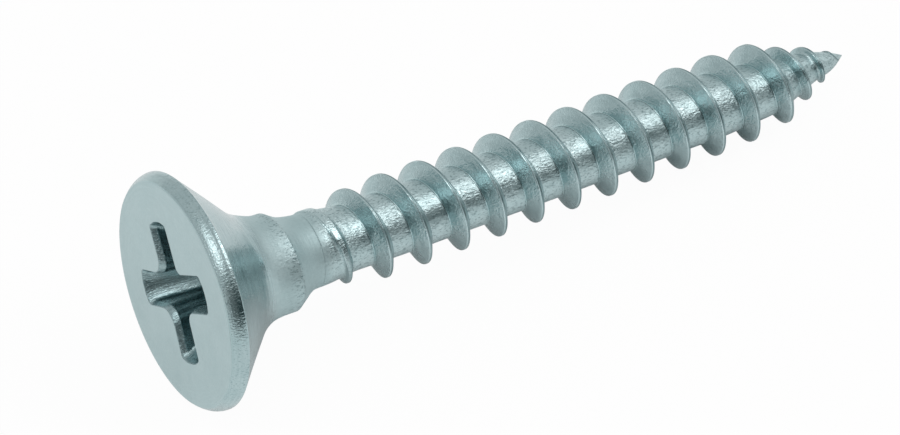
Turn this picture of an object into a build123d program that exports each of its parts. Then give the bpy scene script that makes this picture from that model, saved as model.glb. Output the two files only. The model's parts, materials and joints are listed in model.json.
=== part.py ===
from build123d import *
import os
from math import atan2, ceil, cos, degrees, exp, pi, radians, sin, tan

# A countersunk self-tapping screw with a cross recess, a short plain neck and a coarse
# thread that runs on to a gimlet point, all formed from one piece of wire.
# Lengths are in millimetres and angles in degrees. The screw is drawn along +X, from the
# flat face of its head at x = 0 to its tip, and is then laid down as it rests on a table.

# Whole screw
length = 27.58
thread_diameter = 3.5
root_diameter = 2.34
neck_diameter = 2.64

# Head, from its flat face backwards
head_diameter = 8.46
face_edge_chamfer = 0.25
rim_width = 0.66
countersink_angle = 94.0
head_fillet_radius = 2.0
collar_diameter = 3.57
collar_length = 1.12
shoulder_angle = 33.0
shoulder_root_radius = 1.6

# Core, from the neck to the tip
neck_length = 0.8
neck_taper_length = 1.0
core_taper_length = 5.6
point_length = 3.4
point_diameter = 2.0
tip_length = 0.6
tip_base_diameter = 0.7

# Thread
pitch = 1.523
flank_angle = 31.0
thread_lead = 0.92
start_angle = -103.0
run_in_pitch = 1.43
run_in_turns = 1.9
run_out_turns = 0.35
thread_point_length = 3.8
crowded_length = 3.5
crowded_pitch = 0.96
crowding_turns = 0.3
thread_tip_gap = 0.5
thread_tip_diameter = 0.7

# The ridge's foot stands inside the core, at this share of the core's radius.
foot_share = 0.8
rail_points_per_turn = 16
turn_step = 0.01

# Cross recess
recess_span = 5.0
recess_tip_span = 2.2
wing_width = 1.3
wing_corner_radius = 0.45
recess_depth = 2.7
recess_bottom_depth = 0.5
recess_angle = -36.0

# Places along the axis that follow from these sizes. The thread starts inside the neck.
cone_length = (head_diameter - collar_diameter) / 2 / tan(radians(countersink_angle / 2))
collar_end = rim_width + cone_length + collar_length
shoulder_end = collar_end + (collar_diameter - neck_diameter) / 2 / tan(radians(shoulder_angle))
neck_end = shoulder_end + neck_length
root_start = neck_end + neck_taper_length
thread_start = neck_end - thread_lead


def core_corners():
    """The tapers of the core behind the neck, as (x, radius)."""
    return [
        (neck_end, neck_diameter / 2),
        (root_start, root_diameter / 2),
        (length - core_taper_length, root_diameter / 2),
        (length - point_length, point_diameter / 2),
        (length - tip_length, tip_base_diameter / 2),
        (length, 0),
    ]


def core_radius(x):
    """Radius of the core at a distance x from the head's face, behind the shoulder."""
    corners = core_corners()
    if x <= corners[0][0]:
        return corners[0][1]
    for (start_x, start_radius), (end_x, end_radius) in zip(corners, corners[1:]):
        if x <= end_x:
            share = (x - start_x) / (end_x - start_x)
            return start_radius + share * (end_radius - start_radius)
    return corners[-1][1]


def blank():
    """The screw before its thread is rolled and its recess is punched."""
    head_radius = head_diameter / 2
    collar_radius = collar_diameter / 2
    neck_radius = neck_diameter / 2
    head = FilletPolyline(
        (0, 0),
        (0, head_radius - face_edge_chamfer),
        (face_edge_chamfer, head_radius),
        (rim_width, head_radius),
        (rim_width + cone_length, collar_radius),
        (collar_end, collar_radius),
        (shoulder_end, neck_radius),
        (neck_end, neck_radius),
        radius=(0, 0, 0, head_fillet_radius, 0, shoulder_root_radius),
    )
    core = Polyline(*core_corners(), (0, 0))
    return revolve(Plane.XZ * make_face([head, core]), Axis.X)


def crest_x(turn):
    """Distance from the head's face to the crest after so many turns of the thread."""
    even_start = thread_start + run_in_pitch * run_in_turns
    if turn < run_in_turns:
        return thread_start + run_in_pitch * turn
    even_turns = (length - crowded_length - even_start) / pitch
    extra = turn - run_in_turns - even_turns
    if extra < 0:
        return even_start + pitch * (turn - run_in_turns)
    crowding = crowding_turns * (1 - exp(-extra / crowding_turns))
    return length - crowded_length + crowded_pitch * extra + (pitch - crowded_pitch) * crowding


def crest_radius(turn, end_turn):
    """Radius of the crest, which grows out of the neck and narrows along the point."""
    x = crest_x(turn)
    full = thread_diameter / 2
    smallest = thread_tip_diameter / 2
    point_share = (length - thread_tip_gap - x) / (thread_point_length - thread_tip_gap)
    proud = smallest + (full - smallest) * min(point_share, 1)
    buried = core_radius(x) * (1 + foot_share) / 2
    fade = max(0, min(turn / run_in_turns, (end_turn - turn) / run_out_turns, 1))
    return buried + (proud - buried) * fade


def ridge_section(turn, end_turn):
    """The ridge's head-side foot, its crest and its tip-side foot, each as (x, radius)."""
    x = crest_x(turn)
    top = crest_radius(turn, end_turn)
    foot = foot_share * core_radius(x)
    reach = (top - foot) * tan(radians(flank_angle))
    return [(x - reach, foot), (x, top), (x + reach, foot)]


def turned(corner, turn):
    """The point that a corner of the section takes after so many turns."""
    x, radius = corner
    angle = 2 * pi * turn + radians(start_angle)
    return Vector(x, radius * sin(angle), -radius * cos(angle))


def ridge_rail(corner_number, first_turn, last_turn, end_turn):
    """The curve that one corner of the ridge follows between two turns."""
    steps = max(2, ceil((last_turn - first_turn) * rail_points_per_turn))
    shares = [step / steps for step in range(steps + 1)]
    turns = [first_turn + share * (last_turn - first_turn) for share in shares]
    points = [turned(ridge_section(turn, end_turn)[corner_number], turn) for turn in turns]
    return Edge.make_spline(points, parameters=shares)


def thread_turns():
    """How many turns the thread makes before it ends just short of the tip."""
    turn = 0
    while crest_x(turn) < length - thread_tip_gap:
        turn += turn_step
    return turn


def thread_ridge():
    """The thread as one helical ridge, right-handed, with a face for each side and turn."""
    end_turn = thread_turns()
    stops = list(range(round(end_turn))) + [end_turn]
    faces = []
    for first_turn, last_turn in zip(stops, stops[1:]):
        rails = [ridge_rail(number, first_turn, last_turn, end_turn) for number in range(3)]
        for rail, next_rail in zip(rails, rails[1:] + rails[:1]):
            faces.append(Face.make_surface_from_curves(rail, next_rail))
    for turn in (stops[0], end_turn):
        end_outline = [turned(corner, turn) for corner in ridge_section(turn, end_turn)]
        faces.append(Face(Wire.make_polygon(end_outline)))
    return Solid(Shell(faces))


def cross_recess():
    """The space of the cross recess: four wings cut off by a tapering bowl."""
    wing = Rectangle(recess_span, wing_width)
    cross = wing + Rot(0, 0, 90) * wing
    inner_corners = cross.vertices().sort_by(lambda corner: Vector(*corner).length)[:4]
    cross = fillet(inner_corners, wing_corner_radius)
    prism = extrude(cross, recess_depth + recess_bottom_depth)
    bowl_outline = Polyline(
        (0, 0),
        (recess_span / 2, 0),
        (recess_tip_span / 2, recess_depth),
        (0, recess_depth + recess_bottom_depth),
        close=True,
    )
    bowl = revolve(Plane.XZ * make_face(bowl_outline), Axis.Z)
    mouth = Plane(origin=(0, 0, 0), x_dir=(0, 0, -1), z_dir=(1, 0, 0))
    return mouth * Rot(0, 0, recess_angle) * (prism & bowl)


def resting_tilt():
    """Slope of the axis when the head's rim and the last full crest touch a table."""
    last_full_x = length - thread_point_length
    turn = -start_angle / 360 % 1
    while crest_x(turn + 1) < last_full_x:
        turn += 1
    drop = (head_diameter - thread_diameter) / 2
    return degrees(atan2(drop, crest_x(turn) - rim_width))


screw = blank() + thread_ridge() - cross_recess()
screw = Rot(0, resting_tilt(), 0) * screw
box = screw.bounding_box()
screw = Pos(-box.center().X, -box.center().Y, -box.min.Z) * screw

os.makedirs("parts", exist_ok=True)
export_step(screw, "parts/screw.step")
print("volume", round(screw.volume, 1), "mm3, resting tilt", round(resting_tilt(), 2), "degrees")
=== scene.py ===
import json
from math import atan2, ceil, cos, exp, hypot, pi, radians, sin, sqrt, tan

import bmesh
import bpy
from mathutils import Matrix, Vector, noise


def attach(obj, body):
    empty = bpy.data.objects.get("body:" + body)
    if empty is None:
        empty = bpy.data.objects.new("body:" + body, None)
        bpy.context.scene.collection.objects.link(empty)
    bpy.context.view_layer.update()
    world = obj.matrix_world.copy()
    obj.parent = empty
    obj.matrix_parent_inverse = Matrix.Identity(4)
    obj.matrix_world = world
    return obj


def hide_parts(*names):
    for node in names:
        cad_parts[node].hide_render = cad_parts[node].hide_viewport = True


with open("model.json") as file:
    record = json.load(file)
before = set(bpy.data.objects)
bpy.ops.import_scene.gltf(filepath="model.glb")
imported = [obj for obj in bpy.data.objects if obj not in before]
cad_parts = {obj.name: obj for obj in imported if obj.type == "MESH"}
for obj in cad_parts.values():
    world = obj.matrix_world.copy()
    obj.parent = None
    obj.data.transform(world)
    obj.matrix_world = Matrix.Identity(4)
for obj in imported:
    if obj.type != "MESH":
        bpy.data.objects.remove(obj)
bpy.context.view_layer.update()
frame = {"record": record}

# A zinc-plated self-tapping screw that lies on a pale table, after one photograph.
# The screw is drawn in millimetres along its own axis, from the flat face of its head at
# x = 0 to its tip, with the sizes of its solid, and is then laid where the solid lies.

MM = 0.001

# Head, from its flat face backwards. The face leans, so its middle lies a little inside x = 0.
HEAD_RADIUS = 4.21
HEAD_LEAN = 0.011
FACE_X = 0.08
FACE_RADIUS = 3.96
FACE_RING_INSETS = (0.12, 0.03)
FACE_EDGE_LENGTH = 0.5
FACE_EDGE_PARTS = 10
FACE_CREASE = radians(72)
RIM_WIDTH = 0.66
RIM_BACK_ROUND = 0.06
COUNTERSINK_HALF_ANGLE = radians(47.0)
HEAD_FILLET = 2.0
COLLAR_RADIUS = 1.785
COLLAR_END = 4.0
SHOULDER_EDGE_ROUND = 0.02
SHOULDER_ANGLE = radians(33.0)
SHOULDER_FILLET = 1.6
NECK_RADIUS = 1.315

# The faint ring on the neck: where it rises and where it falls, as x, and how proud it stands
NECK_RING = (4.3, 4.76, 4.76, 4.88)
NECK_RING_HEIGHT = 0.003

# Core, as (x, radius) from the neck to the tip, with its tapers eased over CORE_BLEND
CORE = [(5.58, 1.315), (6.58, 1.17), (21.98, 1.17), (24.18, 1.0), (26.98, 0.35), (27.58, 0)]
CORE_BLEND = 0.3
LENGTH = 27.58

# Thread. Its crest has a narrow land with rounded edges, which is wider where the thread starts.
THREAD_RADIUS = 1.75
PITCH = 1.523
FLANK_ANGLE = radians(30.0)
LAND_HALF_WIDTH = 0.042
LAND_SHIFT = 0.005
LAND_LEAN = 0.015
LAND_START_WIDENING = 0.11
LAND_START_TURNS = (0.8, 1.15)
CREST_ROUND = 0.009
ROOT_BLEND = 0.02
THREAD_START = 4.66
START_ANGLE = radians(-103.0)
RUN_IN_PITCH = 1.43
RUN_IN_TURNS = 1.9
RUN_OUT_TURNS = 0.35
POINT_THREAD_LENGTH = 3.8
CROWDED_LENGTH = 3.5
CROWDED_PITCH = 0.96
CROWDING_TURNS = 0.3
TIP_GAP = 0.5
TIP_THREAD_RADIUS = 0.35
FOOT_SHARE = 0.8
TURN_STEP = 0.01

# A fine burr along the foot of the ridge, where the ridge is high enough to have one
FOOT_BURR = 0.005
FOOT_BURR_WIDTH = 0.022
FOOT_BURR_HEIGHTS = (0.2, 0.5)

# Where along the point the real crest is lower and higher than its design, and how uneven it is
CREST_DIP = 0.08
CREST_DIP_REACH = (22.2, 23.1, 23.4, 24.1)
CREST_RISE = 0.05
CREST_RISE_START = (25.9, 26.3)
CREST_UNEVENNESS = 0.012
CREST_WAVES = 4.1
CREST_NOISE_ROW = 2.7

# How far the real screw's axis bows off the straight line, as (x, bow), and to which side
BOW = [
    (0, 0), (1.2, -0.012), (3.1, -0.045), (5.1, -0.06),
    (8.6, -0.103), (11.1, -0.078), (14.6, -0.043), (17.6, -0.013),
    (20.7, 0.027), (22.5, 0.03), (24.3, 0.015), (25.1, 0.08),
    (25.6, 0.14), (26.2, 0.175), (26.8, 0.155), (27.6, 0.2),
]
BOW_SIDE = radians(130.6)

# The real collar is off centre, its shoulder slants, and so does the cone under the rim. Each
# fault comes in between the first two values of x and goes between the last two.
COLLAR_DROP = 0.045
SHOULDER_SLANT = 0.1
SHOULDER_REACH = (3.0, 3.9, 4.3, 5.0)
CONE_SLANT = 0.06
CONE_REACH = (0.45, 0.75, 2.4, 3.4)

# What lies nearer the axis than this radius, less this share of x, is the recess, not the cone.
CONE_INSIDE_RADIUS = 2.7
CONE_INSIDE_SLOPE = 0.4

# Cross recess. Its lip is a narrow facet round the mouth, above the steep walls. The punch
# stood a little high and askew: two neighbouring wings turn by twice the skew, and the two
# across from them stand true.
RECESS_ANGLE = radians(-36.0)
RECESS_RISE = 0.1
RECESS_SKEW = radians(-2.0)
SKEW_SPREAD = 1.41
RECESS_REACH = 2.5
RECESS_BOTTOM_REACH = 1.1
RECESS_DEPTH = 2.7
RECESS_CENTRE_DEPTH = 3.2
LIP_DEPTH = 0.22
LIP_INSET = 0.09
MOUTH_RINGS = [(0, 0.05), (0, 0.018), (0.008, 0.004), (0.025, -0.008)]
WALL_DEPTHS = [0.1, 0.19, LIP_DEPTH, 0.25, 0.3, 0.36, 0.5, 0.75, 1.0, 1.3, 1.6, 1.9, 2.2, 2.5, RECESS_DEPTH]
FLOOR_SHARES = (0.85, 0.6, 0.3)

# Wings of the recess. Its inner corners are rounder on one side than on the other.
WING_HALF_WIDTH = 0.65
WING_BOTTOM_HALF_WIDTH = 0.42
WING_CORNERS = [0.62, 0.62, 0.3, 0.38]
LEAST_CORNER = 0.05
BOTTOM_CORNER_GROWTH = 0.05
WING_END_ROUND = 0.2
WING_END_SHARE = 0.42
WING_END_TURN = 0.2
LEAST_WING_SIDE = 0.05
SIDE_PARTS = 9
END_PARTS = 6
TIP_PARTS = 5
CORNER_PARTS = 10

# Finish of each stretch of the head and neck, as (x, grain, roughness, dullness, speckle). On the cone
# under the rim the dullness is painted shade.
HEAD_FINISH_AND_SHADE = [
    (0.09, 0.12, 0.34, 0.17, 0.1),
    (0.12, 0.12, 0.16, 0.24, 0.85),
    (0.68, 0.12, 0.15, 0.24, 0.95),
    # The cone under the rim: its high dullness here is painted shade.
    (0.8, 0.15, 0.2, 0.36, 0.2),
    (2.7, 0.25, 0.18, 0.34, 0.2),
    (3.1, 0.3, 0.48, 0.05, 0.2),
    (3.5, 0.3, 0.55, 0.02, 0.3),
    (3.75, 0.25, 0.5, 0.04, 1.0),
    (4.02, 0.25, 0.44, 0.08, 1.3),
    (4.12, 0.2, 0.58, 0, 0.1),
    (5.1, 0.25, 0.6, 0.03, 0.2),
]

# Finish of the neck, thread and recess, as (grain, roughness, dullness, speckle). Dullness also carries
# painted shade on the head-side flanks, the crest's land, the lip and the recess.
FINISH_AND_SHADE_NAMES = ("grain", "rough", "dull_and_shade", "speckle")
NECK_FINISH = (0.25, 0.6, 0.03, 0.2)
ROOT_FINISH = (0.55, 0.36, 0, 1.0)
# The flanks that face the head are much duller than those that face the tip: painted shade on that side of
# the ridge.
HEAD_FLANK_FINISH_AND_SHADE = (0.5, 0.23, 0.26, 0.6)
TIP_FLANK_FINISH = (0.15, 0.3, 0.08, 0.1)
# The crest's land is mixed far towards the dark plate, except where the thread starts: painted shade on the
# crest.
LAND_FINISH_AND_SHADE = (0.4, 0.36, 0.75, 1.0)
START_LAND_FINISH = (0.5, 0.28, 0, 0.9)
LINE_FINISH = (0.1, 0.12, 0, 0)
# The lip and the walls of the recess are mixed towards the dark plate: painted shade in the recess.
LIP_FINISH_AND_SHADE = (0.3, 0.24, 0.6, 0.9)
RECESS_FINISH_AND_SHADE = (0.3, 0.24, 0.55, 0.4)

# Where one finish passes into the next, in millimetres
NECK_FADE = 0.5
FLANK_FADE = 0.1
LAND_FADE = (0.008, 0.016)
LINE_INSET = 0.002
LINE_FADE = (0.01, 0.018)
LIP_FADE = (LIP_DEPTH - 0.02, LIP_DEPTH + 0.05)

# Fine drawn lines are a noise that changes fast along the outline and slowly round the screw.
# NECK_LINE is the place along it where the neck meets the thread. The lines drift on the thread.
NECK_LINE = 1.7
LINES_AROUND = 0.15
LINES_DRIFT = (0.05, 0.07)
RECESS_LINES_ACROSS = 1.6
RECESS_LINES_DOWN = 0.15
RECESS_BOTTOM_LINES = (0, 0, 0.5)

# Mesh. The thread is a ribbon one pitch wide, whose columns lie closest beside the crest. It is
# wound from SWEEP_START to SWEEP_END, and EXTRA_TURNS more at each end fold up into those places.
ROUND = 108
OUTLINE_STEP = 0.06
ARC_STEP = radians(7)
SAME_POINT = 1e-4
WELD = 0.0004
SLIVER = 0.0003
SWEEP_START = 5.12
SWEEP_END = 27.555
EXTRA_TURNS = 2
OFFSETS = [
    0, 0.022, 0.031, 0.037, 0.042, 0.049, 0.062, 0.09, 0.15, 0.22,
    0.28, 0.32, 0.345, 0.365, 0.38, 0.4, 0.43, 0.48, 0.56, 0.66,
]
PHASES = [offset / PITCH for offset in OFFSETS]
PHASES += [0.5] + [1 - phase for phase in reversed(PHASES[1:])]
LAND_PHASE = PHASES[2]

# Zinc plate: colours, and the weight of each pattern. Heights are shares of BUMP_DEPTH, in metres.
PLATE_DEEP = (0.45, 0.592, 0.607, 1)
PLATE_PALE = (0.52, 0.656, 0.671, 1)
# The dark colour serves the specks, dull plate and painted shade: the recess, the crest's land, the flanks
# that face the head and the cone under the rim.
PLATE_DARK = (0.11, 0.195, 0.21, 1)
BUMP_DEPTH = 0.000035
GRAIN_STRETCH = (0.5, 1, 1)
FINE_HEIGHT = 1.3
DRAWN_HEIGHT = 0.25
DOT_HEIGHT = 0.4
FINE_IN_TONE = 0.4
SPECK_DARKNESS = 0.55
POLISH = -0.2

# Floor, in metres. What the metal shows of it carries a painted shadow under the shank and is clear beside
# it, from where |y| passes the first pair, and in front of the head, from where x passes the second pair.
WHITE = (1, 1, 1, 1)
FLOOR_HALF_WIDTH = 1.5
FLOOR_WHITE = 0.9
FLOOR_GLOW = 0.96
FLOOR_GLOW_IN_METAL = 0.73
PAINTED_SHADOW_EDGE_BESIDE = (0.001, 0.004)
PAINTED_SHADOW_EDGE_IN_FRONT = (-0.0125, -0.0145)

# Room, as the metal shows it. Each way is an azimuth and an elevation in degrees.
ROOM = (0.68, 0.68, 0.68, 1)
DIM_STRETCH = (0.05, 0.07, 0.072, 1)
DIM_STRETCH_WAYS = ((-64, 14), (-88, 22))
CAMERA_SIDE = (0.18, 0.19, 0.19, 1)
CAMERA_SIDE_WAY = (-121, 23)

# Softboxes, as name, azimuth, elevation, distance, width, height, level and colour
SOFTBOXES = [
    ("key", -25, 53, 0.3, 0.15, 0.12, 2.8, (1.0, 0.94, 0.93)),
    ("front", -160, 64, 0.3, 0.14, 0.14, 2.0, (1.0, 0.94, 0.935)),
]

# Camera, round a point that is given in the screw's own millimetres
CAMERA_LENS = 202.5
CAMERA_AZIMUTH = radians(-36.345)
CAMERA_ELEVATION = radians(43.265)
CAMERA_ROLL = radians(7.297)
CAMERA_AIM = (8.733, -3.155, 2.749)
CAMERA_DISTANCE = 169.86


def blend_up(value, start, end):
    """0 before start, 1 after end, with a smooth rise between them."""
    share = min(max((value - start) / (end - start), 0), 1)
    return share * share * (3 - 2 * share)


def blend_down(value, start, end):
    """1 before start, 0 after end, with a smooth fall between them."""
    return blend_up(-value, -end, -start)


def within(value, rise_start, rise_end, fall_start, fall_end):
    """1 from rise_end to fall_start, and 0 outside rise_start and fall_end."""
    return blend_up(value, rise_start, rise_end) * (1 - blend_up(value, fall_start, fall_end))


def between(table, x):
    """The values that a table of (x, value, ...) rows gives at x, in straight lines between rows."""
    if x <= table[0][0]:
        return table[0][1:]
    for start, end in zip(table, table[1:]):
        if x <= end[0]:
            share = (x - start[0]) / (end[0] - start[0])
            return [a + share * (b - a) for a, b in zip(start[1:], end[1:])]
    return table[-1][1:]


def mixed(first, second, share):
    """Two finishes mixed, with this share of the second."""
    return [a + (b - a) * share for a, b in zip(first, second)]


def spread(start, end, parts):
    """Evenly spaced values from start to end."""
    return [start + (end - start) * number / parts for number in range(parts + 1)]


def smooth_max(a, b, blend):
    """The larger of two values, with a fillet where they are within blend of each other."""
    return max(a, b) + max(blend - abs(a - b), 0) ** 2 / (4 * blend)


def around(x, radius, angle):
    """A point of the screw. Angles start straight down and turn towards +Y."""
    return Vector((x, radius * sin(angle), -radius * cos(angle)))


# Thread and core


def plain_core(x):
    """Radius of the core, with straight tapers."""
    return between(CORE, x)[0]


def core_radius(x):
    """Radius of the core, its tapers eased into each other."""
    reach = min(CORE_BLEND, max(LENGTH - x, 0))
    return sum(plain_core(x + share * reach) for share in (-1, -0.5, 0, 0.5, 1)) / 5


def crest_x(turn):
    """Distance from the head's face to the crest after so many turns of the thread."""
    even_start = THREAD_START + RUN_IN_PITCH * RUN_IN_TURNS
    if turn < RUN_IN_TURNS:
        return THREAD_START + RUN_IN_PITCH * turn
    even_turns = (LENGTH - CROWDED_LENGTH - even_start) / PITCH
    extra = turn - RUN_IN_TURNS - even_turns
    if extra < 0:
        return even_start + PITCH * (turn - RUN_IN_TURNS)
    crowding = CROWDING_TURNS * (1 - exp(-extra / CROWDING_TURNS))
    return LENGTH - CROWDED_LENGTH + CROWDED_PITCH * extra + (PITCH - CROWDED_PITCH) * crowding


def thread_turns():
    """How many turns the thread makes before it ends just short of the tip."""
    turn = 0
    while crest_x(turn) < LENGTH - TIP_GAP:
        turn += TURN_STEP
    return turn


END_TURN = thread_turns()


def crest_radius(turn):
    """Radius of the crest, which grows out of the neck and narrows along the point."""
    x = crest_x(turn)
    point_share = (LENGTH - TIP_GAP - x) / (POINT_THREAD_LENGTH - TIP_GAP)
    proud = TIP_THREAD_RADIUS + (THREAD_RADIUS - TIP_THREAD_RADIUS) * min(point_share, 1)
    proud -= CREST_DIP * within(x, *CREST_DIP_REACH)
    proud += CREST_RISE * blend_up(x, *CREST_RISE_START)
    buried = plain_core(x) * (1 + FOOT_SHARE) / 2
    fade = max(0, min(turn / RUN_IN_TURNS, (END_TURN - turn) / RUN_OUT_TURNS, 1))
    uneven = CREST_UNEVENNESS * noise.noise(Vector((turn * CREST_WAVES, CREST_NOISE_ROW, 0)))
    return buried + (proud - buried + uneven - CREST_UNEVENNESS) * fade


def land_widening(turn):
    """How much wider each half of the crest's land is where the thread starts."""
    return LAND_START_WIDENING * (1 - blend_up(turn, *LAND_START_TURNS))


def land_x(turn, angle):
    """The middle of the crest's land, which leans a little to and fro as the thread turns."""
    return crest_x(turn) + LAND_SHIFT + LAND_LEAN * cos(angle - BOW_SIDE) - land_widening(turn)


def ridge_radius(turn, past_land):
    """Radius of the ridge's side, so far past the edge of its land after so many turns."""
    beside = max(past_land + CREST_ROUND, 0)
    drop = (sqrt(beside * beside + CREST_ROUND * CREST_ROUND) - CREST_ROUND) / tan(FLANK_ANGLE)
    return crest_radius(turn) - drop


def column_shift(turn, phase):
    """How far a wider land pushes the columns of the mesh beside it outwards."""
    return land_widening(turn) * min(phase / LAND_PHASE, 1) * max(1 - 2 * phase, 0)


def foot_burr(height, before):
    """How much of the burr shows so far before the land of a ridge of this height, from 0 to 1."""
    from_foot = (before - height * tan(FLANK_ANGLE)) / FOOT_BURR_WIDTH
    return exp(-from_foot * from_foot) * blend_up(height, *FOOT_BURR_HEIGHTS)


def sweep_point(step, phase):
    """(x, radius, finish and painted shade) at an angle step, a share of a pitch behind the crest."""
    turn = step / ROUND
    angle = START_ANGLE + 2 * pi * turn
    x = land_x(turn + phase, angle) + column_shift(turn, phase) - column_shift(turn + 1, 1 - phase)
    x = min(max(x, SWEEP_START), SWEEP_END)
    core = core_radius(x)
    past = x - land_x(turn, angle) - LAND_HALF_WIDTH - land_widening(turn)
    before = land_x(turn + 1, angle) - x - LAND_HALF_WIDTH - land_widening(turn + 1)
    tip_side = ridge_radius(turn, past)
    head_side = ridge_radius(turn + 1, before)
    burr = foot_burr(crest_radius(turn + 1) - core, before)
    radius = smooth_max(core, max(tip_side, head_side), ROOT_BLEND * min(1, core)) + FOOT_BURR * burr

    # Painted shade: the flank that faces the head is darker than the one that faces the tip.
    flank_finish_and_shade = TIP_FLANK_FINISH if tip_side > head_side else HEAD_FLANK_FINISH_AND_SHADE
    finish_and_shade = mixed(ROOT_FINISH, flank_finish_and_shade, blend_up(radius - core, 0, FLANK_FADE))
    finish_and_shade = mixed(finish_and_shade, LINE_FINISH, max(burr, blend_down(abs(before + LINE_INSET), *LINE_FADE)))
    # Painted shade on the crest's land, which fades where the thread starts.
    land_finish_and_shade = mixed(LAND_FINISH_AND_SHADE, START_LAND_FINISH, land_widening(turn) / LAND_START_WIDENING)
    finish_and_shade = mixed(finish_and_shade, land_finish_and_shade, blend_up(-min(past, before), *LAND_FADE))
    return x, radius, mixed(NECK_FINISH, finish_and_shade, blend_up(x, SWEEP_START, SWEEP_START + NECK_FADE))


# Outlines


def rounded(corners):
    """Points along straight runs between (x, radius, round) corners, which are rounded."""
    points = [Vector(corners[0][:2])]
    for before, corner, after in zip(corners, corners[1:], corners[2:]):
        here = Vector(corner[:2])
        back = (Vector(before[:2]) - here).normalized()
        on = (Vector(after[:2]) - here).normalized()
        half = back.angle(on) / 2
        reach = corner[2] / tan(half)
        centre = here + (back + on).normalized() * (corner[2] / sin(half))
        first = here + back * reach
        last = here + on * reach
        turn = (first - centre).angle_signed(last - centre)
        parts = max(2, ceil(abs(turn) / ARC_STEP))
        for number in range(parts + 1):
            arm = (first - centre).copy()
            arm.rotate(Matrix.Rotation(-turn * number / parts, 2))
            points.append(centre + arm)
    points.append(Vector(corners[-1][:2]))
    return points


def spaced(points):
    """The same line with points no further apart than OUTLINE_STEP, and none twice."""
    line = [points[0]]
    for point in points[1:]:
        start = line[-1]
        gap = (point - start).length
        if gap < SAME_POINT:
            continue
        parts = max(1, ceil(gap / OUTLINE_STEP))
        line += [start.lerp(point, number / parts) for number in range(1, parts + 1)]
    return line


def face_edge():
    """The crowned edge between the head's flat face and its rim, with a slight crease."""
    start_x = 1 - cos(FACE_CREASE)
    start_radius = sin(FACE_CREASE)
    points = []
    for angle in spread(FACE_CREASE, pi / 2, FACE_EDGE_PARTS):
        x = FACE_X + FACE_EDGE_LENGTH * (1 - cos(angle) - start_x) / (1 - start_x)
        outwards = (HEAD_RADIUS - FACE_RADIUS) * (sin(angle) - start_radius) / (1 - start_radius)
        points.append(Vector((x, FACE_RADIUS + outwards)))
    return points


def head_outline():
    """The head and neck from the flat face's edge to where the thread starts."""
    cone_length = (HEAD_RADIUS - COLLAR_RADIUS) / tan(COUNTERSINK_HALF_ANGLE)
    shoulder_end = COLLAR_END + (COLLAR_RADIUS - NECK_RADIUS) / tan(SHOULDER_ANGLE)
    corners = [
        (FACE_X + FACE_EDGE_LENGTH, HEAD_RADIUS, 0),
        (RIM_WIDTH, HEAD_RADIUS, RIM_BACK_ROUND),
        (RIM_WIDTH + cone_length, COLLAR_RADIUS, HEAD_FILLET),
        (COLLAR_END, COLLAR_RADIUS, SHOULDER_EDGE_ROUND),
        (shoulder_end, NECK_RADIUS, SHOULDER_FILLET),
        (SWEEP_START, NECK_RADIUS, 0),
    ]
    behind = spaced(rounded(corners))
    for point in behind:
        point.y += NECK_RING_HEIGHT * within(point.x, *NECK_RING)
    flat = [Vector((FACE_X, FACE_RADIUS - inset)) for inset in FACE_RING_INSETS]
    return flat + face_edge() + behind[1:]


def wing_outline(reach, half_width, end_round, first_corner, last_corner):
    """One wing along the first axis, from one inner corner to the end of the next one."""
    shoulder = sqrt(reach * reach - half_width * half_width) - end_round
    first_root = min(half_width + first_corner, shoulder - LEAST_WING_SIDE)
    last_root = min(half_width + last_corner, shoulder - LEAST_WING_SIDE)
    corner = last_root - half_width
    inside = half_width - end_round
    wing = [(along, -half_width) for along in spread(first_root, shoulder, SIDE_PARTS)[:-1]]
    for angle in spread(-pi / 2, -WING_END_TURN, END_PARTS):
        wing.append((shoulder + end_round * cos(angle), -half_width + end_round * (1 + sin(angle))))
    for across in spread(-inside, inside, TIP_PARTS)[1:-1]:
        wing.append((sqrt(reach * reach - across * across), across))
    for angle in spread(WING_END_TURN, pi / 2, END_PARTS):
        wing.append((shoulder + end_round * cos(angle), half_width - end_round * (1 - sin(angle))))
    wing += [(along, half_width) for along in spread(shoulder, last_root, SIDE_PARTS)[1:]]
    for angle in spread(-pi / 2, -pi, CORNER_PARTS)[1:-1]:
        wing.append((last_root + corner * cos(angle), half_width + corner + corner * sin(angle)))
    return wing


def skewed(point):
    """A point of a true cross, moved to where the skew punch leaves it."""
    angle = atan2(point.y, point.x)
    turn = RECESS_SKEW * (1 - SKEW_SPREAD * cos(angle - RECESS_ANGLE - pi / 4))
    return Matrix.Rotation(turn, 2) @ point


def cross_outline(reach, half_width, rounder=0, grow=0):
    """The cross at one depth, in the plane of the face: four wings with filleted inner corners."""
    half_width += grow
    reach += grow
    end_round = min(WING_END_ROUND, half_width * WING_END_SHARE)
    corners = [max(corner + rounder - grow, LEAST_CORNER) for corner in WING_CORNERS]
    points = []
    for quarter in range(4):
        turn = Matrix.Rotation(RECESS_ANGLE + quarter * pi / 2, 2)
        wing = wing_outline(reach, half_width, end_round, corners[quarter - 1], corners[quarter])
        points += [skewed(turn @ Vector(point)) for point in wing]
    return points


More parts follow.
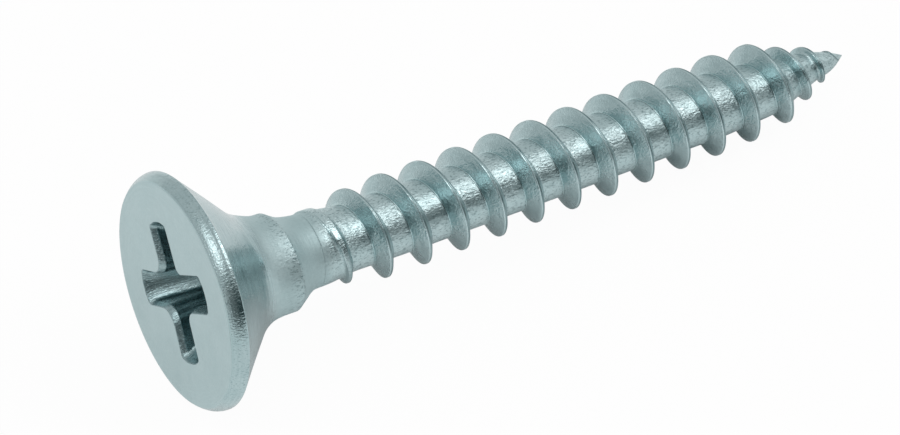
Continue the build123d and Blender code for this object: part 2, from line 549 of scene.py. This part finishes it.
def recess_rings():
    """(depth, cross outline) from the mouth to just above the bottom."""
    rings = []
    for depth, grow in MOUTH_RINGS:
        rings.append((depth, cross_outline(RECESS_REACH, WING_HALF_WIDTH, grow=grow)))
    for depth in WALL_DEPTHS:
        lip = min(depth / LIP_DEPTH, 1)
        below = max(depth - LIP_DEPTH, 0) / (RECESS_DEPTH - LIP_DEPTH)
        half_width = WING_HALF_WIDTH - LIP_INSET * lip
        half_width -= (half_width - WING_BOTTOM_HALF_WIDTH) * below
        reach = RECESS_REACH - LIP_INSET * lip - (RECESS_REACH - LIP_INSET - RECESS_BOTTOM_REACH) * below
        rings.append((depth, cross_outline(reach, half_width, rounder=BOTTOM_CORNER_GROWTH * below)))
    last = rings[-1][1]
    for share in FLOOR_SHARES:
        depth = RECESS_DEPTH + (RECESS_CENTRE_DEPTH - RECESS_DEPTH) * (1 - share)
        rings.append((depth, [point * share for point in last]))
    return rings


# Screw mesh


class Surface:
    """Vertices and faces of one piece, with what its material reads at each vertex."""

    def __init__(self):
        self.points = []
        self.faces = []
        self.finish_and_shade = []
        self.lines = []

    def add(self, point, finish_and_shade, lines):
        """Add one vertex and return its number."""
        self.points.append(point)
        self.finish_and_shade.append(finish_and_shade)
        self.lines.append(lines)
        return len(self.points) - 1

    def ring(self, x, radius, finish_and_shade, along):
        """One ring of vertices about the axis, from the start angle of the thread."""
        ring = []
        for number in range(ROUND):
            angle = START_ANGLE + 2 * pi * number / ROUND
            lines = (along, LINES_AROUND * cos(angle), LINES_AROUND * sin(angle))
            ring.append(self.add(around(x, radius, angle), finish_and_shade, lines))
        return ring

    def bridge(self, first, second):
        """Faces between two closed loops with as many vertices."""
        for number in range(len(first)):
            after = (number + 1) % len(first)
            self.faces.append((first[number], first[after], second[after], second[number]))


def add_head(surface):
    """Rings from the edge of the flat face to the neck. Returns the first of them."""
    outline = head_outline()
    along = NECK_LINE - sum((end - start).length for start, end in zip(outline, outline[1:]))
    rings = []
    for number, point in enumerate(outline):
        if number:
            along += (point - outline[number - 1]).length
        rings.append(surface.ring(point.x, point.y, between(HEAD_FINISH_AND_SHADE, point.x), along))
    for first, second in zip(rings, rings[1:]):
        surface.bridge(first, second)
    return rings[0]


def add_recess(surface):
    """Walls and bottom of the cross recess. Returns the loop round its mouth, on the face."""
    loops = []
    rings = recess_rings()
    rise = Vector((0, 0, RECESS_RISE))
    for depth, outline in rings:
        # Painted shade: the lip and walls of the recess are darkened towards the dark plate.
        finish_and_shade = mixed(LIP_FINISH_AND_SHADE, RECESS_FINISH_AND_SHADE, blend_up(depth, *LIP_FADE))
        if not depth:
            finish_and_shade = HEAD_FINISH_AND_SHADE[0][1:]
        loop = []
        for (across, along), at_mouth in zip(outline, rings[0][1]):
            point = around(FACE_X + depth, hypot(across, along), atan2(along, across)) + rise
            line_across = at_mouth[0] * RECESS_LINES_ACROSS
            line_along = at_mouth[1] * RECESS_LINES_ACROSS
            lines = (line_across, line_along, depth * RECESS_LINES_DOWN)
            loop.append(surface.add(point, finish_and_shade, lines))
        loops.append(loop)
    for first, second in zip(loops, loops[1:]):
        surface.bridge(second, first)
    centre = Vector((FACE_X + RECESS_CENTRE_DEPTH, 0, 0)) + rise
    bottom = surface.add(centre, RECESS_FINISH_AND_SHADE, RECESS_BOTTOM_LINES)
    last = loops[-1]
    for number in range(len(last)):
        surface.faces.append((last[number], bottom, last[(number + 1) % len(last)]))
    return loops[0]


def thread_row(surface, step):
    """The vertices of the thread's ribbon at one angle step, across one pitch."""
    angle = START_ANGLE + 2 * pi * step / ROUND
    row = []
    for phase in PHASES:
        x, radius, finish_and_shade = sweep_point(step, phase)
        off = min(phase, 1 - phase) * PITCH
        behind = x - SWEEP_START
        across = NECK_LINE + (off + radius - NECK_LINE) * blend_up(behind, 0, NECK_FADE)
        down = LINES_AROUND * cos(angle) + LINES_DRIFT[0] * behind
        aside = LINES_AROUND * sin(angle) - LINES_DRIFT[1] * behind
        row.append(surface.add(around(x, radius, angle), finish_and_shade, (across, down, aside)))
    return row


def add_thread(surface):
    """The core and its thread, as a ribbon one pitch wide wound from the neck to the tip."""
    first_step = -EXTRA_TURNS * ROUND
    last_step = ceil(END_TURN + EXTRA_TURNS) * ROUND
    rows = {step: thread_row(surface, step) for step in range(first_step, last_step + 1)}
    for step in range(first_step, last_step):
        here = rows[step]
        after = rows[step + 1]
        for number in range(len(PHASES) - 1):
            surface.faces.append((here[number], here[number + 1], after[number + 1], after[number]))
        if step + ROUND + 1 in rows:
            far = rows[step + ROUND][0]
            far_after = rows[step + ROUND + 1][0]
            surface.faces.append((here[-1], far, far_after, after[-1]))


def settle(point):
    """Where a point of the straight screw lies on the real one.

    The real screw bows, its head leans, and its collar is off centre with a slant shoulder.
    """
    angle = atan2(point.y, -point.z)
    in_head = 1 - blend_up(point.x, RIM_WIDTH, COLLAR_END)
    near_shoulder = within(point.x, *SHOULDER_REACH)
    on_cone = within(point.x, *CONE_REACH)
    if hypot(point.y, point.z) < CONE_INSIDE_RADIUS - CONE_INSIDE_SLOPE * point.x:
        on_cone = 0
    offset, slope = bow(point.x)
    side = around(0, 1, BOW_SIDE)
    along = HEAD_LEAN * point.y * in_head - slope * point.dot(side)
    along -= CONE_SLANT * (1 + cos(angle - BOW_SIDE)) / 2 * on_cone
    along -= SHOULDER_SLANT * cos(angle - BOW_SIDE) * near_shoulder
    return point + side * (offset - COLLAR_DROP * near_shoulder) + Vector((along, 0, 0))


def bow(x):
    """How far the axis lies off the straight line at x, and its slope there."""
    last = len(BOW) - 2
    span = next((number for number in range(last) if x < BOW[number + 1][0]), last)
    rows = [BOW[min(max(span + number, 0), last + 1)] for number in (-1, 0, 1, 2)]
    (x0, bow0), (x1, bow1), (x2, bow2), (x3, bow3) = rows
    start_slope = (bow2 - bow0) / (x2 - x0)
    end_slope = (bow3 - bow1) / (x3 - x1)
    width = x2 - x1
    rise = bow2 - bow1
    t = (x - x1) / width
    ease = (1 - t) * start_slope - t * end_slope
    curve = bow1 + t * t * (3 - 2 * t) * rise + width * t * (1 - t) * ease
    slope = 6 * t * (1 - t) * rise / width + (1 - t) * (1 - 3 * t) * start_slope
    slope += t * (3 * t - 2) * end_slope
    return curve, slope


def screw_to_row():
    """From the screw's own millimetres to the row frame in metres, by the mount on its face."""
    mount = next(m for m in frame["record"]["mounts"] if m["name"] == "drive_recess")
    axis = -Vector(mount["axis"]).normalized()
    across = Vector((0, 1, 0))
    turned = Matrix((axis, across, axis.cross(across))).transposed().to_4x4()
    return Matrix.Translation(Vector(mount["pos_m"])) @ turned @ Matrix.Scale(MM, 4)


def surface_mesh(surface):
    """A mesh of the surface as it was drawn, with an attribute for all that the plating reads."""
    mesh = bpy.data.meshes.new("screw_body")
    mesh.from_pydata(surface.points, [], surface.faces)
    for name, values in (("place", surface.points), ("lines", surface.lines)):
        attribute = mesh.attributes.new(name, "FLOAT_VECTOR", "POINT")
        attribute.data.foreach_set("vector", [value for item in values for value in item])
    for number, name in enumerate(FINISH_AND_SHADE_NAMES):
        attribute = mesh.attributes.new(name, "FLOAT", "POINT")
        attribute.data.foreach_set("value", [finish_and_shade[number] for finish_and_shade in surface.finish_and_shade])
    return mesh


def fill_face(edit, loops):
    """The head's flat face, between its edge and the mouth of the recess."""
    edges = []
    for loop in loops:
        for number in range(len(loop)):
            pair = (edit.verts[loop[number]], edit.verts[loop[(number + 1) % len(loop)]])
            edges.append(edit.edges.get(pair))
    bmesh.ops.triangle_fill(edit, use_beauty=True, edges=edges)


def close_up(edit):
    """Weld the stretches of the mesh into one closed skin without slivers."""
    bmesh.ops.remove_doubles(edit, verts=edit.verts, dist=WELD)
    bmesh.ops.dissolve_degenerate(edit, dist=SLIVER, edges=edit.edges)
    open_edges = [edge for edge in edit.edges if edge.is_boundary]
    bmesh.ops.holes_fill(edit, edges=open_edges, sides=0)
    bmesh.ops.recalc_face_normals(edit, faces=edit.faces)


def make_screw():
    """The whole screw as one closed mesh."""
    surface = Surface()
    face_loop = add_head(surface)
    mouth_loop = add_recess(surface)
    add_thread(surface)
    mesh = surface_mesh(surface)
    edit = bmesh.new()
    edit.from_mesh(mesh)
    edit.verts.ensure_lookup_table()
    fill_face(edit, (face_loop, mouth_loop))
    close_up(edit)
    for vertex in edit.verts:
        vertex.co = settle(vertex.co)
    edit.transform(screw_to_row())
    edit.to_mesh(mesh)
    edit.free()
    mesh.polygons.foreach_set("use_smooth", [True] * len(mesh.polygons))
    mesh.update()
    screw = bpy.data.objects.new("screw_body", mesh)
    bpy.context.scene.collection.objects.link(screw)
    return screw


# Materials


class Nodes:
    """Short calls for building one node tree."""

    def __init__(self, tree):
        self.tree = tree

    def add(self, kind, inputs=None, **settings):
        """Add a node. Its inputs are given as values or as the sockets they are linked from."""
        node = self.tree.nodes.new(kind)
        for name, value in settings.items():
            setattr(node, name, value)
        for name, value in (inputs or {}).items():
            self.feed(value, node.inputs[name])
        return node

    def feed(self, value, socket):
        if hasattr(value, "is_output"):
            self.tree.links.new(value, socket)
        else:
            socket.default_value = value

    def attribute(self, name, output="Fac"):
        return self.add("ShaderNodeAttribute", attribute_name=name).outputs[output]

    def math(self, operation, a, b=0.0):
        return self.add("ShaderNodeMath", {0: a, 1: b}, operation=operation).outputs[0]

    def times(self, first, *others):
        for other in others:
            first = self.math("MULTIPLY", first, other)
        return first

    def plus(self, first, *others):
        for other in others:
            first = self.math("ADD", first, other)
        return first

    def dot(self, a, b):
        return self.add("ShaderNodeVectorMath", {0: a, 1: b}, operation="DOT_PRODUCT").outputs["Value"]

    def noise(self, vector, scale, detail=2.0, roughness=0.5):
        inputs = {"Vector": vector, "Scale": scale, "Detail": detail, "Roughness": roughness}
        return self.add("ShaderNodeTexNoise", inputs).outputs["Fac"]

    def ramp(self, value, start, end, low=0.0, high=1.0):
        inputs = {"Value": value, "From Min": start, "From Max": end, "To Min": low, "To Max": high}
        return self.add("ShaderNodeMapRange", inputs, interpolation_type="SMOOTHSTEP").outputs["Result"]

    def mix_colour(self, factor, first, second):
        node = self.add("ShaderNodeMix", {"Factor": factor}, data_type="RGBA")
        self.feed(first, node.inputs[6])
        self.feed(second, node.inputs[7])
        return node.outputs[2]


def plate_patterns(nodes):
    """The finish at each place of the screw, and the noises that the plating is made of."""
    patterns = {name: nodes.attribute(name) for name in FINISH_AND_SHADE_NAMES}
    place = nodes.attribute("place", "Vector")
    stretch = {0: place, 1: GRAIN_STRETCH}
    place = nodes.add("ShaderNodeVectorMath", stretch, operation="MULTIPLY").outputs[0]
    lines = nodes.attribute("lines", "Vector")
    patches = nodes.noise(place, scale=1.1, detail=3.0, roughness=0.55)
    patchy = nodes.ramp(patches, start=0.38, end=0.6, low=0.3, high=1.0)
    patterns["patches"] = patches
    patterns["coarse"] = nodes.noise(place, scale=3.6, detail=3.0, roughness=0.6)
    patterns["bright"] = nodes.ramp(nodes.noise(place, scale=7.0), start=0.5, end=0.62)
    patterns["fine"] = nodes.noise(place, scale=15.0, roughness=0.6)
    patterns["dots"] = nodes.noise(place, scale=17.0, roughness=0.6)
    patterns["drawn"] = nodes.noise(lines, scale=14.0, detail=3.0, roughness=0.6)
    patterns["uneven"] = nodes.times(patterns["grain"], patchy)
    return patterns


def plate_normal(nodes, patterns):
    """The plating's bump: grain, drawn lines and dots."""
    fine = nodes.times(patterns["fine"], patterns["uneven"], FINE_HEIGHT)
    coarse = nodes.times(patterns["coarse"], patterns["grain"])
    drawn = nodes.times(patterns["drawn"], DRAWN_HEIGHT)
    dots = nodes.times(patterns["dots"], patterns["speckle"], DOT_HEIGHT)
    height = nodes.plus(fine, coarse, drawn, dots)
    inputs = {"Height": height, "Strength": 1.0, "Distance": BUMP_DEPTH}
    return nodes.add("ShaderNodeBump", inputs).outputs["Normal"]


def plate_colour(nodes, patterns):
    """Blue-white zinc in two tones, darker in its specks, where it is dull, and where it carries painted
    shade.
    """
    tone = nodes.plus(patterns["patches"], nodes.times(patterns["fine"], FINE_IN_TONE))
    tone = nodes.ramp(tone, start=0.45, end=0.95)
    colour = nodes.mix_colour(tone, PLATE_DEEP, PLATE_PALE)
    specks = nodes.ramp(patterns["dots"], start=0.52, end=0.64)
    specks = nodes.times(patterns["speckle"], SPECK_DARKNESS, specks)
    streaks = nodes.ramp(patterns["drawn"], start=0.3, end=0.7, low=0.6, high=1.2)
    # Dullness here also carries painted shade, from the finishes of the recess, lands, head-side flanks and
    # cone.
    dull_and_shade = nodes.times(patterns["dull_and_shade"], streaks)
    return nodes.mix_colour(nodes.math("MAXIMUM", specks, dull_and_shade), colour, PLATE_DARK)


def plate_roughness(nodes, patterns):
    """The plating's roughness, with polished spots and slow patches."""
    polished = nodes.times(patterns["bright"], patterns["uneven"], POLISH)
    patches = nodes.ramp(patterns["patches"], start=0.3, end=0.7, low=-0.04, high=0.06)
    return nodes.plus(patterns["rough"], polished, patches)


def zinc_plate():
    """Bright zinc plate: mottled grain on rolled roots and rim, fine lines on drawn faces."""
    material = bpy.data.materials.new("zinc_plate")
    material.use_nodes = True
    nodes = Nodes(material.node_tree)
    shader = material.node_tree.nodes["Principled BSDF"]
    patterns = plate_patterns(nodes)
    nodes.feed(plate_normal(nodes, patterns), shader.inputs["Normal"])
    nodes.feed(plate_colour(nodes, patterns), shader.inputs["Base Color"])
    nodes.feed(plate_roughness(nodes, patterns), shader.inputs["Roughness"])
    shader.inputs["Metallic"].default_value = 1.0
    return material


def pale_floor():
    """A plain white table, which glows for the camera and in the metal, as a light table does.

    What the metal shows of it carries a painted shadow under the shank, where its glow fades.
    """
    material = bpy.data.materials.new("pale_floor")
    material.use_nodes = True
    tree = material.node_tree
    nodes = Nodes(tree)
    tree.nodes.remove(tree.nodes["Principled BSDF"])
    white = (FLOOR_WHITE, FLOOR_WHITE, FLOOR_WHITE, 1)
    diffuse = nodes.add("ShaderNodeBsdfDiffuse", {"Color": white})
    glow = nodes.add("ShaderNodeEmission", {"Color": WHITE, "Strength": 1.0})
    path = nodes.add("ShaderNodeLightPath").outputs
    place = nodes.add("ShaderNodeTexCoord").outputs["Object"]
    place = nodes.add("ShaderNodeSeparateXYZ", {0: place}).outputs
    # Painted shadow: the floor's glow in the metal fades under the shank, but not in front of the head.
    beside = nodes.ramp(nodes.math("ABSOLUTE", place["Y"]), *PAINTED_SHADOW_EDGE_BESIDE)
    outside_painted_shadow = nodes.math("MAXIMUM", beside, nodes.ramp(place["X"], *PAINTED_SHADOW_EDGE_IN_FRONT))
    in_metal = nodes.times(path["Is Glossy Ray"], outside_painted_shadow, FLOOR_GLOW_IN_METAL)
    share = nodes.plus(nodes.times(path["Is Camera Ray"], FLOOR_GLOW), in_metal)
    shown = nodes.add("ShaderNodeMixShader", {0: share, 1: diffuse.outputs[0], 2: glow.outputs[0]})
    nodes.feed(shown.outputs[0], tree.nodes["Material Output"].inputs["Surface"])
    return material


# Stage


def add_floor():
    size = FLOOR_HALF_WIDTH
    corners = [(-size, -size, 0), (size, -size, 0), (size, size, 0), (-size, size, 0)]
    mesh = bpy.data.meshes.new("floor")
    mesh.from_pydata(corners, [], [(0, 1, 2, 3)])
    floor = bpy.data.objects.new("floor", mesh)
    bpy.context.scene.collection.objects.link(floor)
    mesh.materials.append(pale_floor())


def direction(azimuth, elevation):
    """A unit vector from the screw, its azimuth turned from +X towards +Y, in degrees."""
    a = radians(azimuth)
    e = radians(elevation)
    return Vector((cos(a) * cos(e), sin(a) * cos(e), sin(e)))


def add_softbox(name, azimuth, elevation, distance, width, height, level, colour):
    """A rectangular softbox that faces the screw, whose face shows at the given level."""
    light = bpy.data.lights.new(name, "AREA")
    light.shape = "RECTANGLE"
    light.size = width
    light.size_y = height
    light.energy = level * pi * width * height
    light.color = colour
    lamp = bpy.data.objects.new(name, light)
    away = direction(azimuth, elevation)
    lamp.location = away * distance
    lamp.rotation_euler = away.to_track_quat("Z", "Y").to_euler()
    bpy.context.scene.collection.objects.link(lamp)


def add_world():
    """An even pale room with a dim stretch low in front of the screw and a place behind the camera."""
    world = bpy.data.worlds.new("studio")
    bpy.context.scene.world = world
    world.use_nodes = True
    tree = world.node_tree
    nodes = Nodes(tree)
    way = nodes.add("ShaderNodeTexCoord").outputs["Generated"]
    stretch = [nodes.dot(way, direction(*end)) for end in DIM_STRETCH_WAYS]
    dim = nodes.ramp(nodes.math("MAXIMUM", *stretch), start=0.82, end=0.98)
    behind_camera = nodes.ramp(nodes.dot(way, direction(*CAMERA_SIDE_WAY)), start=0.88, end=0.975)
    colour = nodes.mix_colour(dim, ROOM, DIM_STRETCH)
    colour = nodes.mix_colour(behind_camera, colour, CAMERA_SIDE)
    camera = nodes.add("ShaderNodeLightPath").outputs["Is Camera Ray"]
    colour = nodes.mix_colour(camera, colour, WHITE)
    nodes.feed(colour, tree.nodes["Background"].inputs["Color"])


def add_camera():
    """The photograph's view: a long lens, from in front of the head and above it."""
    camera = bpy.data.cameras.new("camera")
    camera.lens = CAMERA_LENS
    camera.sensor_width = 36
    camera.clip_start = 0.01
    camera.clip_end = 10
    turned = Matrix.Rotation(CAMERA_AZIMUTH, 4, "Z") @ Matrix.Rotation(pi / 2 - CAMERA_ELEVATION, 4, "X")
    aim = Matrix.Translation(Vector(CAMERA_AIM))
    away = Matrix.Translation(Vector((0, 0, CAMERA_DISTANCE)))
    placed = screw_to_row() @ aim @ turned @ Matrix.Rotation(CAMERA_ROLL, 4, "Z") @ away
    turned_only = placed.to_quaternion().to_matrix().to_4x4()
    stand = bpy.data.objects.new("camera", camera)
    stand.matrix_world = Matrix.Translation(placed.translation) @ turned_only
    bpy.context.scene.collection.objects.link(stand)
    bpy.context.scene.camera = stand


def dress_stage():
    add_floor()
    add_world()
    add_camera()
    for softbox in SOFTBOXES:
        add_softbox(*softbox)
    bpy.context.scene.view_settings.view_transform = "Standard"


screw = make_screw()
screw.data.materials.append(zinc_plate())
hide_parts("screw")
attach(screw, "root")
dress_stage()
